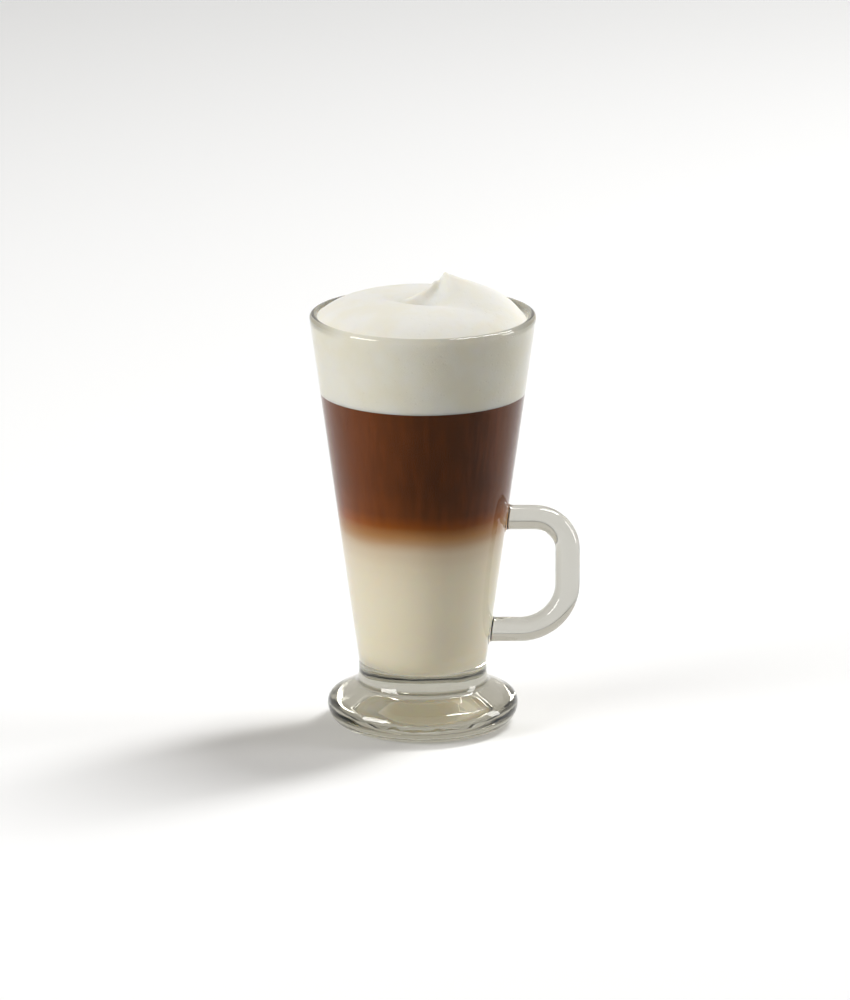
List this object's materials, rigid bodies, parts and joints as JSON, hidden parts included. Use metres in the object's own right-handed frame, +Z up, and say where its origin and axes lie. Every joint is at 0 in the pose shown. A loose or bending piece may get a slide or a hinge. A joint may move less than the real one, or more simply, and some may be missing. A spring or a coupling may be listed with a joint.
{
  "type": "glass of cappuccino",
  "caption": "Tall footed glass with a loop handle, filled in layers with milk, coffee and a domed milk foam that is pulled up to a small peak.",
  "frame": {"origin": "where the glass's axis meets the table, on the underside of the foot", "axes": "+Z up along the glass's axis, +X towards the handle"},
  "size_m": [0.0934, 0.078, 0.1598],
  "materials": {
    "glass": "clear, fire polished",
    "milk": "warm white liquid",
    "amber_layer": "amber, blending into the milk below",
    "coffee": "dark brown liquid",
    "foam": "fine matt milk foam"
  },
  "bodies": {
    "root": {"glass": "glass", "milk": "milk", "amber_layer": "amber_layer", "coffee": "coffee", "foam": "foam"}
  },
  "joints": []
}
